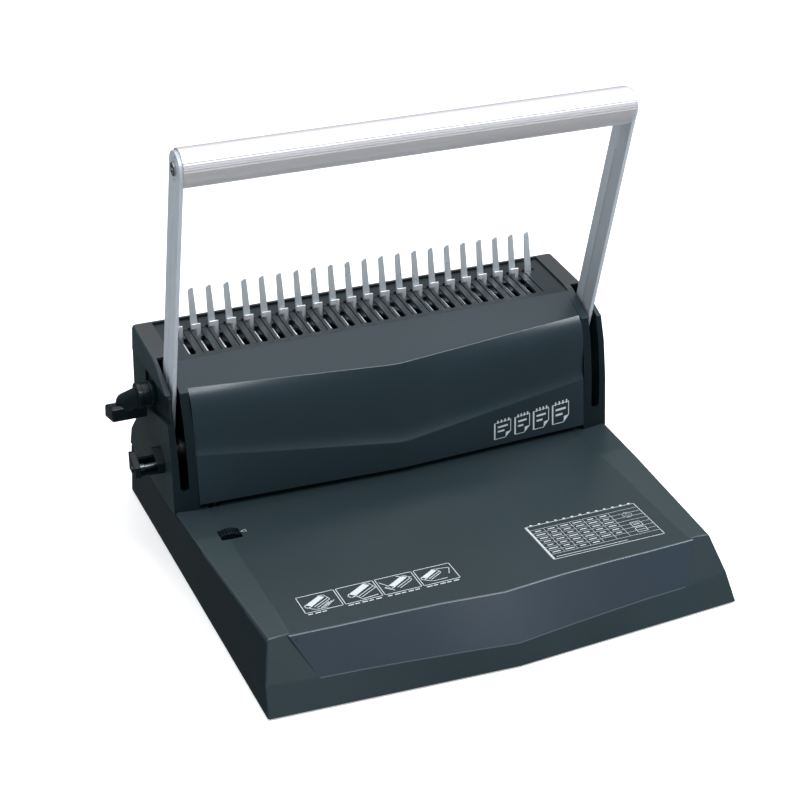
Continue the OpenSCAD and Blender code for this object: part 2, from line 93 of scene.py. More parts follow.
class Shader:
    """Wires up one procedural material."""

    def __init__(self, name, colour, rough, metal=0.0, specular=0.5):
        self.mat = bpy.data.materials.new(name)
        self.mat.use_nodes = True
        self.tree = self.mat.node_tree
        self.bsdf = self.tree.nodes["Principled BSDF"]
        self.colour = (*colour, 1.0)
        self.bsdf.inputs["Base Color"].default_value = self.colour
        self.bsdf.inputs["Roughness"].default_value = rough
        self.bsdf.inputs["Metallic"].default_value = metal
        self.bsdf.inputs["Specular IOR Level"].default_value = specular
        self.rough = rough
        self.coord = self.node("ShaderNodeTexCoord").outputs["Object"]
        self.last_bump = None

    def node(self, kind, **values):
        n = self.tree.nodes.new(kind)
        for key, value in values.items():
            setattr(n, key, value)
        return n

    def link(self, a, b):
        self.tree.links.new(a, b)

    def stretched(self, scale):
        """Object coordinates scaled along each axis, in waves per metre."""
        m = self.node("ShaderNodeMapping")
        m.inputs["Scale"].default_value = scale
        self.link(self.coord, m.inputs["Vector"])
        return m.outputs["Vector"]

    def noise(self, scale, detail=3.0, stretch=None):
        n = self.node("ShaderNodeTexNoise")
        n.inputs["Scale"].default_value = scale
        n.inputs["Detail"].default_value = detail
        self.link(self.stretched(stretch) if stretch else self.coord, n.inputs["Vector"])
        return n.outputs["Fac"]

    def spread(self, value, low, high):
        """A noise value spread from low to high."""
        n = self.node("ShaderNodeMapRange")
        n.inputs["From Min"].default_value = NOISE_LOW
        n.inputs["From Max"].default_value = NOISE_HIGH
        n.inputs["To Min"].default_value = low
        n.inputs["To Max"].default_value = high
        self.link(value, n.inputs["Value"])
        return n.outputs["Result"]

    def tint(self, value, other):
        """The colour moves from its own to another as value rises."""
        mix = self.node("ShaderNodeMix", data_type="RGBA")
        mix.inputs[MIX_A].default_value = self.colour
        mix.inputs[MIX_B].default_value = (*other, 1.0)
        self.link(self.spread(value, 0.0, 1.0), mix.inputs[MIX_FACTOR])
        self.link(mix.outputs[MIX_RESULT], self.bsdf.inputs["Base Color"])

    def vary_rough(self, value, amount):
        self.link(self.spread(value, self.rough - amount, self.rough + amount),
                  self.bsdf.inputs["Roughness"])

    def bump(self, value, strength, distance):
        """Adds relief to what is there already; distance is in metres."""
        b = self.node("ShaderNodeBump")
        b.inputs["Strength"].default_value = strength
        b.inputs["Distance"].default_value = distance
        self.link(value, b.inputs["Height"])
        if self.last_bump:
            self.link(self.last_bump, b.inputs["Normal"])
        self.last_bump = b.outputs["Normal"]
        self.link(self.last_bump, self.bsdf.inputs["Normal"])


def moulded(name, colour, rough, grain=0.35, specular=0.4):
    """Moulded plastic: fine spark-eroded grain, slight clouding of colour and gloss."""
    s = Shader(name, colour, rough, specular=specular)
    s.tint(s.noise(9.0, 4.0), tuple(c * 1.25 for c in colour))
    s.vary_rough(s.noise(11.0, 2.0), 0.02)
    s.bump(s.noise(3200.0, 2.0), grain, 0.00004)
    s.bump(s.noise(14.0, 2.0), 0.10, 0.0006)
    return s.mat


def plated(name, colour, rough, along, dark=0.75, metal=1.0):
    """Rolled and plated metal: fine lines along the strip, faint clouds of tone."""
    s = Shader(name, colour, rough, metal=metal)
    lines = s.noise(1.0, 3.0, along)
    s.tint(lines, tuple(c * dark for c in colour))
    s.vary_rough(s.noise(60.0, 3.0), 0.06)
    s.bump(lines, 0.18, 0.00003)
    return s.mat


# Waves per metre along each axis: lines that run up a part, lines across the machine, no lines
UPRIGHT = (500.0, 500.0, 20.0)
ARM_LINES = (700.0, 700.0, 25.0)
CROSSWAYS = (25.0, 700.0, 700.0)
PLAIN = (300.0, 300.0, 300.0)

SHELL = moulded("shell_dark_plastic", (0.018, 0.031, 0.036), 0.33, specular=0.36)
# Painted highlight: a lighter, glossier copy of the shell plastic for the thin faces along the base's front edges
EDGE_HIGHLIGHT = moulded("shell_edge_painted_highlight", (0.055, 0.075, 0.09), 0.3, specular=0.5)
CHEEK = moulded("cheek_plastic", (0.013, 0.028, 0.031), 0.38, specular=0.32)
# Painted shade: a darker copy of the cheek plastic for the cheeks' forward faces
CHEEK_FRONT_SHADE = moulded("cheek_front_painted_shade", (0.005, 0.013, 0.016), 0.38, specular=0.24)
# Painted shade: near-black plastic for the sunk field round the comb lever
RECESS_SHADE = moulded("recess_painted_shade", (0.007, 0.015, 0.019), 0.42, specular=0.25)
# Painted reflection: a lighter, bluer copy of the shell plastic for the base's sloping front panel
PANEL_REFLECTION = moulded("panel_painted_reflection", (0.024, 0.036, 0.049), 0.26, specular=0.24)
# Painted light: a lighter copy of the shell plastic for the strips beside the deck
STRIP_LIGHT = moulded("strip_painted_light", (0.026, 0.041, 0.044), 0.35, specular=0.36)
# Painted light from above: a lighter copy of the lid plastic for the lid's level top faces
LID_TOP_LIGHT = moulded("lid_top_painted_light", (0.044, 0.047, 0.050), 0.34, specular=0.38)
# Painted shade: a darker copy of the shell plastic for the base's side walls
SIDE_SHADE = moulded("side_painted_shade", (0.008, 0.016, 0.019), 0.40, specular=0.24)
LID = moulded("lid_plastic", (0.015, 0.029, 0.037), 0.29, specular=0.36)
DECK = moulded("comb_deck_plastic", (0.017, 0.026, 0.030), 0.36, specular=0.35)
BLACK = moulded("black_plastic", (0.002, 0.007, 0.009), 0.27, specular=0.36)
UNDER = moulded("under_plastic", (0.009, 0.013, 0.015), 0.55, specular=0.2)
RUBBER = moulded("foot_rubber", (0.012, 0.012, 0.012), 0.8, grain=0.9, specular=0.2)
RAIL = moulded("rail_plastic", (0.42, 0.42, 0.39), 0.5)
STEEL = plated("bright_steel", (0.70, 0.76, 0.80), 0.30, UPRIGHT, dark=0.9, metal=0.45)
HOOK = plated("hook_steel", (0.88, 0.91, 0.93), 0.30, UPRIGHT, dark=0.92, metal=0.3)
ARM = plated("zinc_arm", (0.53, 0.58, 0.64), 0.40, ARM_LINES, dark=0.88, metal=0.25)
# Painted shade: a darker copy of the arm's zinc for the channel pressed into each arm
CHANNEL_SHADE = plated("zinc_channel_painted_shade", (0.50, 0.55, 0.60), 0.40, ARM_LINES, dark=0.85, metal=0.3)
ZINC = plated("zinc_parts", (0.40, 0.43, 0.46), 0.38, CROSSWAYS)
PIN = plated("lock_pin_steel", (0.14, 0.16, 0.17), 0.3, PLAIN)
SCREW = plated("plated_screw", (0.62, 0.64, 0.66), 0.25, PLAIN)


def bar_material():
    """Bead-blasted, clear-anodised extrusion: fine die lines run along the bar."""
    s = Shader("anodised_bar", (0.83, 0.815, 0.835), 0.40, metal=0.7, specular=0.25)
    lines = s.noise(1.0, 2.0, (6.0, 2600.0, 2600.0))
    s.tint(lines, (0.79, 0.775, 0.795))
    s.vary_rough(s.noise(900.0, 2.0), 0.03)
    s.bump(lines, 0.05, 0.00002)
    return s.mat


def print_material():
    """Screen-printed ink: slightly uneven cover."""
    s = Shader("white_ink", (0.76, 0.80, 0.82), 0.5, specular=0.3)
    s.tint(s.noise(1400.0, 3.0), (0.56, 0.60, 0.62))
    s.vary_rough(s.noise(400.0), 0.08)
    return s.mat


BAR = bar_material()
# Painted shade: a darker, duller copy of the bar's finish for the walls and floors of its grooves
GROOVE_SHADE = plated("bar_groove_painted_shade", (0.62, 0.61, 0.64), 0.5, (6.0, 900.0, 900.0), dark=0.85, metal=0.1)
INK = print_material()

FINISH = {
    "shell_dark": SHELL, "shell_top": LID, "black_plastic": BLACK, "rubber": RUBBER,
    "steel": STEEL, "zinc_steel": ZINC, "rail_plastic": RAIL,
    "screw_steel": SCREW, "bar_aluminium": BAR,
}
OWN_FINISH = {
    "left_arm": ARM, "right_arm": ARM, "comb_deck": DECK, "bottom_plate": UNDER, "chip_tray": UNDER,
    "lock_pin": PIN, "moving_hooks": HOOK, "left_cheek": CHEEK, "right_cheek": CHEEK, "rear_cover": CHEEK,
}


# ---- CAD nodes: rounded edges and materials -------------------------------------


def shade(o, sharp=None):
    """Smooth shading, with edges over sharp degrees kept crisp."""
    for p in o.data.polygons:
        p.use_smooth = True
    if sharp:
        o.data.set_sharp_from_angle(angle=math.radians(sharp))
    n = o.modifiers.new("normals", "WEIGHTED_NORMAL")
    n.keep_sharp = True


def round_edges(o, width, segments=2, angle=30.0, name="edges"):
    b = o.modifiers.new(name, "BEVEL")
    b.width = width * MM
    b.segments = segments
    b.limit_method = "ANGLE"
    b.angle_limit = math.radians(angle)
    b.miter_outer = "MITER_ARC"


# Widths of the rounded edges; the nodes left out keep the edges that the frame gives them
EDGE_WIDTHS = {
    1.2: ["left_cheek", "right_cheek"],
    1.0: ["rear_cover"],
    0.8: ["chip_tray"],
    0.6: ["lock_bracket"],
    0.4: ["handle_shaft"],
    0.35: ["comb_deck", "left_arm", "right_arm"],
    0.3: ["comb_fingers", "handle_screws", "rubber_feet", "lock_pin", "edge_guide", "wheel_cradle",
          "bottom_plate", "pressure_bar", "drive_cranks", "lever_cranks", "lever_shaft"],
    0.25: ["slot_guides", "moving_hooks", "edge_wheel"],
    0.2: ["hook_plate", "paper_stop", "left_frame", "right_frame", "throat_spacers", "slide_rails",
          "base_screws", "frame_screws", "shaft_bushes", "lever_bushes", "spring_posts"],
    0.1: ["punch_pins"],
}
EDGE = {node: width for width, nodes in EDGE_WIDTHS.items() for node in nodes}
WIDE_EDGE = 0.9
SLOT_OF = {p["node"]: p["material_slot"] for p in frame["record"]["subparts"]}


def dress(node, o):
    """Softens a CAD node's moulded or stamped edges with modifiers, and gives it its finish."""
    width = EDGE.get(node, 0.0)
    normals = o.data.attributes.get("custom_normal")
    if normals:
        o.data.attributes.remove(normals)
    if width:
        weld = o.modifiers.new("weld", "WELD")
        weld.merge_threshold = 0.01 * MM
        flats = o.modifiers.new("flats", "DECIMATE")
        flats.decimate_type = "DISSOLVE"
        flats.angle_limit = math.radians(0.5)
        round_edges(o, width, 3 if width > WIDE_EDGE else 2)
    shade(o)
    o.data.materials.clear()
    o.data.materials.append(OWN_FINISH.get(node, FINISH[SLOT_OF[node]]))


for node, o in frame["nodes"].items():
    dress(node, o)


def mark(node, material, test):
    """Gives a second material to the faces of a CAD node whose centres pass a test in millimetres."""
    me = frame["nodes"][node].data
    me.materials.append(material)
    for f in me.polygons:
        c = f.center / MM
        if test(c.x, c.y, c.z - LIFT):
            f.material_index = len(me.materials) - 1


# The sunk field round the comb lever, and the fronts of the cheeks beside the brow
LEVER_FIELD = ((-183.0, -177.5), (21.0, 76.0), (104.0, 139.0))
CHEEK_FRONT_Y = 20.0
CHEEK_SIDE_X = 181.9
# The long channel pressed into each handle arm: its half width, its reach up the arm and its depth
CHANNEL_HALF = 4.6
CHANNEL_REACH = (10.0, 246.0)
CHANNEL_X = (170.35, 172.85)
# The walls and floors of the grip bar's grooves lie between these radii, short of the bar's ends
GROOVE_RADII = (12.2, 13.93)
GROOVE_END_X = 171.0


def in_lever_field(*point):
    return all(low < c < high for c, (low, high) in zip(point, LEVER_FIELD))


def in_cheek_front(x, y, z):
    return y < CHEEK_FRONT_Y and abs(x) < CHEEK_SIDE_X


def in_channel(x, y, z):
    up = (BAR_AXIS.yz - HANDLE_AXIS.yz).normalized()
    from_axis = Vector((y, z)) - HANDLE_AXIS.yz
    across = from_axis.x * up.y - from_axis.y * up.x
    in_reach = CHANNEL_REACH[0] < from_axis.dot(up) < CHANNEL_REACH[1]
    return abs(across) < CHANNEL_HALF and in_reach and CHANNEL_X[0] < abs(x) < CHANNEL_X[1]


def in_groove(x, y, z):
    radius = (Vector((y, z)) - BAR_AXIS.yz).length
    return abs(x) < GROOVE_END_X and GROOVE_RADII[0] < radius < GROOVE_RADII[1]


# painted shade on the sunk field round the comb lever
mark("left_cheek", RECESS_SHADE, in_lever_field)
# painted shade on the cheeks' forward faces
for cheek in ("left_cheek", "right_cheek"):
    mark(cheek, CHEEK_FRONT_SHADE, in_cheek_front)
# painted shade in the channel pressed into each arm
for arm in ("left_arm", "right_arm"):
    mark(arm, CHANNEL_SHADE, in_channel)
# painted shade in the grip bar's grooves
mark("handle_bar", GROOVE_SHADE, in_groove)


# ---- Mesh building ---------------------------------------------------------------


def placed(name, data):
    """An object for a mesh, light or camera, in the scene."""
    o = bpy.data.objects.new(name, data)
    bpy.context.scene.collection.objects.link(o)
    return o


def mesh_of(name, bm):
    """A mesh from bm, which is used up."""
    me = bpy.data.meshes.new(name)
    bm.to_mesh(me)
    bm.free()
    return me


def new_piece(name, me, material, body="machine", replaces=()):
    o = placed(name, me)
    me.materials.append(material)
    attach(o, body)
    if replaces:
        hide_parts(*replaces)
    return o


def bake(o):
    """Turns an object's modifiers into its mesh."""
    deps = bpy.context.evaluated_depsgraph_get()
    deps.update()
    o.data = bpy.data.meshes.new_from_object(o.evaluated_get(deps), depsgraph=deps)
    o.modifiers.clear()


def surface(name, faces, weights=None):
    """A mesh from faces of points in millimetres; shared points are merged, to a thousandth.

    weights maps a pair of points to the bevel weight of the edge between them."""
    bm = bmesh.new()
    known = {}

    def vert(p):
        key = tuple(round(c, 3) for c in p)
        if key not in known:
            known[key] = bm.verts.new(at(*p))
        return known[key]

    for f in faces:
        ring = list(dict.fromkeys(vert(p) for p in f))
        if len(ring) > 2 and not bm.faces.get(ring):
            bm.faces.new(ring)
    if weights:
        layer = bm.edges.layers.float.new("bevel_weight_edge")
        for (p, q), w in weights.items():
            e = bm.edges.get((vert(p), vert(q)))
            if e:
                e[layer] = w
    bmesh.ops.recalc_face_normals(bm, faces=bm.faces)
    up = max(bm.faces, key=lambda f: f.calc_center_median().z)
    if up.normal.z < 0:
        bmesh.ops.reverse_faces(bm, faces=bm.faces)
    return mesh_of(name, bm)


def opposite(points):
    """The same points on the machine's other side, in the other order."""
    return [(-x, y, z) for x, y, z in reversed(points)]


def mirrored(faces):
    return faces + [opposite(f) for f in faces]


def weigh(weights, points, values):
    """Gives the edges along a run of points, on both sides, their bevel weights.

    Where there are more edges than values, the last value repeats."""
    for i, (p, q) in enumerate(zip(points, points[1:])):
        for sx in (1, -1):
            pair = ((sx * p[0], p[1], p[2]), (sx * q[0], q[1], q[2]))
            weights[pair] = values[min(i, len(values) - 1)]


def block(bm, low, high):
    """Adds a box to bm between two corners in millimetres."""
    a, b = at(*low), at(*high)
    bmesh.ops.create_cube(bm, size=1.0,
                          matrix=Matrix.Translation((a + b) / 2) @ Matrix.Diagonal((*(b - a), 1.0)))


def rod(bm, start, end, radius, about, segments):
    """Adds a cylinder to bm between two points in millimetres; about is the axis that tips it over."""
    a, b = at(*start), at(*end)
    turn = Matrix.Translation((a + b) / 2) @ Matrix.Rotation(math.pi / 2, 4, about)
    bmesh.ops.create_cone(bm, cap_ends=True, segments=segments, radius1=radius * MM,
                          radius2=radius * MM, depth=(b - a).length, matrix=turn)


def along(line, x):
    """Height of a line of points at x."""
    for a, b in zip(line, line[1:]):
        if x <= b[0]:
            return lerp(a[1], b[1], (x - a[0]) / (b[0] - a[0]))
    return line[-1][1]


def arc(a, b, c, r, n):
    """Points of a fillet of radius r at corner b between a and c, in a plane.

    The fillet shrinks where it would take more than a share of either leg."""
    most = 0.45
    corner = Vector(b)
    va, vc = Vector(a) - corner, Vector(c) - corner
    half = va.angle(vc) / 2
    reach = min(r / math.tan(half), most * va.length, most * vc.length)
    mid = (va.normalized() + vc.normalized()).normalized()
    centre = corner + mid * (reach * math.tan(half) / math.sin(half))
    p = corner + va.normalized() * reach - centre
    q = corner + vc.normalized() * reach - centre
    total = p.angle(q)
    out = []
    for i in range(n + 1):
        t = i / n
        v = (p * math.sin((1 - t) * total) + q * math.sin(t * total)) / math.sin(total)
        out.append(tuple(centre + v))
    return out


# ---- Lid and brow -----------------------------------------------------------------

# The brow ends at the strips beside it; the lid's lower edge is the seam
STRIP_X = 163.0
SEAM_Z = 139.5
LID_BACK = 108.0
# The lid's top as (y, z), and its front lip beside the brow
LID_SLOPE = [(30.0, 145.5), (48.0, 153.2), (56.0, 154.8), (LID_BACK, 159.2)]
LID_LIP = [(18.0, SEAM_Z), (30.0, 145.5), (39.0, 149.35)]
# The lid's half width at the seam and at the top
LID_HALF = (181.5, 180.4)
# The opening for the comb deck, and the slots for the handle's arms
OPEN_X = 165.0
OPEN_Y = (46.0, 104.0)
SLOT_X = (170.0, 177.0)
SLOT_BACK = 53.0
# Brow profile as (y, z), at the machine's middle and at the brow's ends
BROW_HALF = 159.0
BROW_FOOT = ((-2.3, 50.3), (5.0, 50.3))
BROW_CREST = ((-3.5, 73.6), (9.0, 89.8))
BROW_BRIM = ((10.6, 134.6), (22.0, 141.0))
BROW_BACK = LID_SLOPE[1]


def vee(x):
    """0 at the middle of the brow and 1 at its ends, softened where the creases meet."""
    soft = 4.0
    return (math.hypot(x, soft) - soft) / (math.hypot(BROW_HALF, soft) - soft)


def between(pair, t):
    """The point t of the way from the first of a pair of points to the second."""
    return tuple(lerp(a, b, t) for a, b in zip(*pair))


def face_curve(a, b, low, high, n=16):
    """Points after a on a line to b, flared out by low degrees at a and rolled back by high at b."""
    flare_end, roll_start, roll_power = 0.3, 0.45, 1.7
    a, b = Vector(a), Vector(b)
    chord = b - a
    base = math.atan2(chord.y, chord.x)
    run = [Vector((0.0, 0.0))]
    for i in range(n):
        t = (i + 0.5) / n
        flare = low * max(0.0, 1 - t / flare_end) ** 2
        roll = high * max(0.0, (t - roll_start) / (1 - roll_start)) ** roll_power
        angle = base - math.radians(flare + roll)
        run.append(run[-1] + Vector((math.cos(angle), math.sin(angle))))
    end = run[-1]
    fit = math.atan2(chord.y, chord.x) - math.atan2(end.y, end.x)
    size = chord.length / end.length
    cos, sin = math.cos(fit) * size, math.sin(fit) * size
    return [(a.x + v.x * cos - v.y * sin, a.y + v.x * sin + v.y * cos) for v in run[1:]]


def brow_column(x):
    """Points (y, z) of the brow at x, from its foot up to the start of the flat top."""
    s = vee(x)
    foot, crest, brim = between(BROW_FOOT, s), between(BROW_CREST, s), between(BROW_BRIM, s)
    rise = face_curve(crest, brim, 32.0, lerp(10.0, 48.0, s))
    column = [foot]
    column += arc(foot, crest, rise[0], 2.5, 3)
    column += rise[:-1]
    column += arc(rise[-2], brim, BROW_BACK, 1.4, 3)
    for t in (0.45, 0.7):
        column.append(between((brim, BROW_BACK), t))
    return column


def side_x(z):
    """Half width of the lid at a height."""
    return lerp(*LID_HALF, (z - SEAM_Z) / (LID_SLOPE[-1][1] - SEAM_Z))


def top_cover_mesh():
    """The lid's outer skin in columns from the middle to the side, each from front to back.

    The brow's last column and the first beside it are near each other, and make its end wall."""
    near = 0.1
    middle = [0.0, 2.0, 4.0, 7.0, 12.0] + [20.0 + 14.0 * i for i in range(11)] + [STRIP_X - near]
    wing = [STRIP_X + near, OPEN_X, *SLOT_X]
    rows = [(y, along(LID_SLOPE, y)) for y in (OPEN_Y[0], 48.5, SLOT_BACK, 57.0, 80.0, OPEN_Y[1], LID_BACK)]
    columns = []
    for x in middle:
        columns.append([(x, *p) for p in brow_column(x) + rows] + [(x, LID_BACK, SEAM_Z)])
    skip = [None] * (len(columns[0]) - len(rows) - 1 - len(LID_LIP))
    for x in wing:
        columns.append(skip + [(x, *p) for p in LID_LIP + rows] + [(x, LID_BACK, SEAM_Z)])
    edge = [(side_x(z), y, z) for y, z in LID_LIP + rows]
    corner = (side_x(SEAM_Z), LID_BACK, SEAM_Z)
    columns.append(skip + edge + [corner])
    wall = [(side_x(SEAM_Z), y, SEAM_Z) for y, _ in LID_LIP + rows]
    columns.append(skip + wall + [corner])
    faces = []
    for a, b in zip(columns, columns[1:]):
        for j in range(len(a) - 1):
            quad = [a[j], a[j + 1], b[j + 1], b[j]]
            if None in quad:
                continue
            cx = sum(p[0] for p in quad) / 4
            cy = sum(p[1] for p in quad) / 4
            top = min(p[2] for p in quad) > SEAM_Z + 1
            if top and cx < OPEN_X and OPEN_Y[0] < cy < OPEN_Y[1]:
                continue
            if SLOT_X[0] < cx < SLOT_X[1] and cy < SLOT_BACK:
                continue
            faces.append(quad)
    weights = {}
    weigh(weights, edge, [0.1, 0.4, 0.7, 1.0])
    weigh(weights, [c[-2] for c in columns if c[-2][2] > SEAM_Z], [0.8])
    weigh(weights, [edge[-1], corner], [1.0])
    return surface("top_cover_shell", mirrored(faces), weights)


def weighted_bevel(o, width, segments):
    b = o.modifiers.new("radii", "BEVEL")
    b.limit_method = "WEIGHT"
    b.width = width * MM
    b.segments = segments
    b.use_clamp_overlap = False


def thicken(o, t):
    s = o.modifiers.new("wall", "SOLIDIFY")
    s.thickness = t * MM
    s.offset = -1.0
    s.use_even_offset = True
    s.use_quality_normals = True


def top_cover():
    o = new_piece("top_cover_shell", top_cover_mesh(), LID, replaces=["top_cover"])
    weighted_bevel(o, 3.0, 4)
    thicken(o, 2.0)
    round_edges(o, 0.45, 2, 50.0, "rims")
    bake(o)
    o.data.materials.append(LID_TOP_LIGHT)
    # painted light from above: a lighter copy of the lid plastic on the nearly level faces above the brow
    level, above = 0.97, at(0.0, 0.0, 148.5).z
    for f in o.data.polygons:
        if f.normal.z > level and f.center.z > above:
            f.material_index = 1
    shade(o, 40.0)


top_cover()


# ---- Base --------------------------------------------------------------------------

# The right half's outlines. The front edge of the deck and the foot of the sloping panel as (x, y)
FRONT_EDGE = [(0.0, -182.8), (46.0, -178.5), (92.0, -176.5), (121.0, -175.9), (158.3, -174.3)]
PANEL_FOOT = [(0.0, -207.4), (34.0, -203.0), (100.0, -195.6), (142.2, -192.8)]
PANEL_FOOT_Z = (17.0, 18.2)
# The crease beside the deck as (x, y), the rim outside it, and the crest of the skirt's corner
CREASE = [(158.3, -171.9), (157.2, -134.0), (156.5, -90.0), (156.1, -54.0), (155.6, -36.0), (155.3, 4.5)]
RIM = [(172.7, -172.5, 45.0), (175.3, -134.0, 45.6), (178.2, -90.0, 46.2), (180.6, -54.0, 46.8),
       (181.4, -36.0, 47.2), (183.0, 4.5, 48.0)]
SKIRT_TOP = (180.5, -188.8, 18.7)
# The hem at the middle and at the corner, and the back edges
HALF_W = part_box("base_cover")[1][0] / MM - 0.05
HEM_X = [0.0, 43.0, 86.0, 113.0, 147.0, HALF_W]
HEM_Y = (-211.0, -200.0)
HEEL_Y = (20.0, 129.0)
BACK_Y = 135.0
BACK_MID = (182.9, 132.4, SKIRT_TOP[2])


def front_top():
    return [(x, y, DECK_Z) for x, y in FRONT_EDGE]


def panel_foot():
    """The panel's foot, with one point below each point of the deck's front edge."""
    half = PANEL_FOOT[-1][0]
    feet = [x * half / FRONT_EDGE[-1][0] for x, _ in FRONT_EDGE]
    return [(x, along(PANEL_FOOT, x), lerp(*PANEL_FOOT_Z, x / half)) for x in feet]


def strip(faces, upper, lower):
    """Adds the faces between two runs of points."""
    for i in range(len(upper) - 1):
        faces.append([upper[i], lower[i], lower[i + 1], upper[i + 1]])


def base_mesh():
    top, foot = front_top(), panel_foot()
    hem = [(x, lerp(*HEM_Y, x / HALF_W), 0.0) for x in HEM_X]
    crease = [(x, y, DECK_Z) for x, y in CREASE]
    faces = []
    strip(faces, top, foot)
    strip(faces, foot + [SKIRT_TOP], hem)
    # step at the panel's end, and the corner facet behind it
    faces.append([top[-1], foot[-1], crease[0]])
    faces.append([crease[0], foot[-1], SKIRT_TOP, RIM[0]])
    strip(faces, crease, RIM)
    # side wall in columns from the front corner to the back
    sides = [y for _, y, _ in RIM[1:]]
    reach = RIM[-1][1] - RIM[1][1] + 0.5
    mid = [SKIRT_TOP] + [(lerp(180.9, HALF_W, (y - RIM[1][1]) / reach), y, SKIRT_TOP[2]) for y in sides]
    low = [hem[-1]] + [(HALF_W, y, 0.0) for y in sides]
    strip(faces, RIM, mid)
    strip(faces, mid, low)
    # flat behind the deck, the heel of the side wall, and the back
    heel = [(HALF_W, HEEL_Y[0], DECK_Z), (182.4, HEEL_Y[1], DECK_Z)]
    inner = [(crease[-1][0], y, DECK_Z) for y in HEEL_Y]
    strip(faces, [crease[-1], *inner], [RIM[-1], *heel])
    back_low = (HALF_W, BACK_Y, 0.0)
    faces.append([RIM[-1], mid[-1], BACK_MID, heel[1], heel[0]])
    faces.append([mid[-1], low[-1], back_low, BACK_MID])
    faces = mirrored(faces)
    right = [top[-1]] + crease + inner
    faces.append(right + opposite(right) + opposite(top[1:-1]) + top[:-1])
    back = [heel[1], BACK_MID, back_low]
    faces.append(back + opposite(back) + opposite(inner[1:]) + inner[1:])
    weights = {}
    weigh(weights, top, [0.2])
    weigh(weights, foot, [0.16])
    weigh(weights, [foot[-1], SKIRT_TOP, RIM[0]], [0.14, 0.26])
    weigh(weights, [SKIRT_TOP, hem[-1]], [0.3])
    weigh(weights, [crease[0], RIM[0]], [0.14])
    weigh(weights, crease, [0.4])
    weigh(weights, RIM, [0.24, 0.28, 0.35, 0.6, 1.0])
    weigh(weights, [RIM[-1], heel[0], heel[1]], [1.0, 0.6])
    weigh(weights, [heel[1], BACK_MID, back_low], [0.6])
    return surface("base_shell", faces, weights)


def base_openings():
    """What is cut out of the base: the punch's well, the tray's mouth, and two slots in the deck."""
    bm = bmesh.new()
    block(bm, (-160.2, 19.8, 40.0), (160.2, 44.2, 50.0))
    block(bm, (-152.0, 100.0, 3.0), (152.0, 140.0, 38.0))
    # the edge guide's slot, and the thumb wheel's
    block(bm, (-156.0, 7.0, 40.0), (-146.5, 17.0, 50.0))
    x, _, z = WHEEL_AXIS
    rod(bm, (x, -42.0, z), (x, -28.4, z), 14.5, "X", 96)
    return placed("openings", mesh_of("openings", bm))


def cut(o, tool):
    b = o.modifiers.new("cut", "BOOLEAN")
    b.operation = "DIFFERENCE"
    b.solver = "EXACT"
    b.object = tool
    bake(o)
    bpy.data.objects.remove(tool)


def near_run(p, points, reach):
    """True when p lies within reach millimetres of a run of points, on either side of the machine."""
    p = Vector((abs(p.x), p.y, p.z))
    for a, b in zip(points, points[1:]):
        a, b = at(*a), at(*b)
        t = max(0.0, min(1.0, (p - a).dot(b - a) / (b - a).length_squared))
        if (p - a.lerp(b, t)).length < reach * MM:
            return True
    return False


# Where the base's painted light and shade lie, as |x| and y: painted reflection on the sloping panel, painted
# light on the strips and painted shade on the side walls
PANEL_X, PANEL_Y = 157.0, -171.0
STRIP_SPAN_X, STRIP_SPAN_Y = (156.0, 182.0), (-173.0, -36.0)
SIDE_X = 176.0
# Widest face that counts as part of an edge with a painted highlight, in metres
EDGE_FACE = 0.5 * MM


def on_panel(x, c, n):
    return x < PANEL_X and c.y < PANEL_Y and c.z > PANEL_FOOT_Z[0] and n.y < -0.5 and n.z > 0.45


def on_strip(x, c, n):
    in_span = STRIP_SPAN_X[0] < x < STRIP_SPAN_X[1] and STRIP_SPAN_Y[0] < c.y < STRIP_SPAN_Y[1]
    return in_span and c.z > DECK_Z and n.z > 0.9


def on_side(x, c, n):
    return x > SIDE_X and abs(n.x) > 0.8


def finish_base(me):
    """Paints light and shade on the base: a painted reflection on the panel, painted light on the strips, painted
    shade on the side walls and painted highlights along the fine front edges.
    """
    corner = [(HALF_W, HEM_Y[1], 0.0), SKIRT_TOP, RIM[0], (*CREASE[0], DECK_Z)]
    highlight_edges = [(front_top(), 0.5), (panel_foot(), 0.45), (corner, 0.7)]
    # painted reflection on the panel, painted light on the strips, painted shade on the side walls
    tests = [(PANEL_REFLECTION, on_panel), (STRIP_LIGHT, on_strip), (SIDE_SHADE, on_side)]
    first = len(me.materials)
    for finish, _ in tests:
        me.materials.append(finish)
    me.materials.append(EDGE_HIGHLIGHT)
    for f in me.polygons:
        c = f.center / MM
        for i, (_, test) in enumerate(tests):
            if test(abs(c.x), c, f.normal):
                f.material_index = first + i
        longest = max((me.vertices[a].co - me.vertices[b].co).length for a, b in f.edge_keys)
        # painted highlight on the thin faces along the front edges
        if f.area / longest < EDGE_FACE and any(near_run(f.center, *edge) for edge in highlight_edges):
            f.material_index = first + len(tests)


def base():
    o = new_piece("base_shell", base_mesh(), SHELL, replaces=["base_cover"])
    weighted_bevel(o, 5.0, 4)
    thicken(o, 2.4)
    bake(o)
    cut(o, base_openings())
    limit = HALF_W * MM
    for v in o.data.vertices:
        v.co.x = max(-limit, min(limit, v.co.x))
    finish_base(o.data)
    shade(o, 30.0)


base()


# ---- Comb lever -------------------------------------------------------------------------


def ball(bm, x, back, up, radius, squash):
    """Adds a ball to bm, squashed across the machine; back and up are measured from the lever's axis."""
    place = Matrix.Translation(at(x, LEVER_AXIS.y + back, LEVER_AXIS.z + up))
    bmesh.ops.create_icosphere(bm, subdivisions=4, radius=radius * MM,
                               matrix=place @ Matrix.Diagonal((squash, 1.0, 1.0, 1.0)))


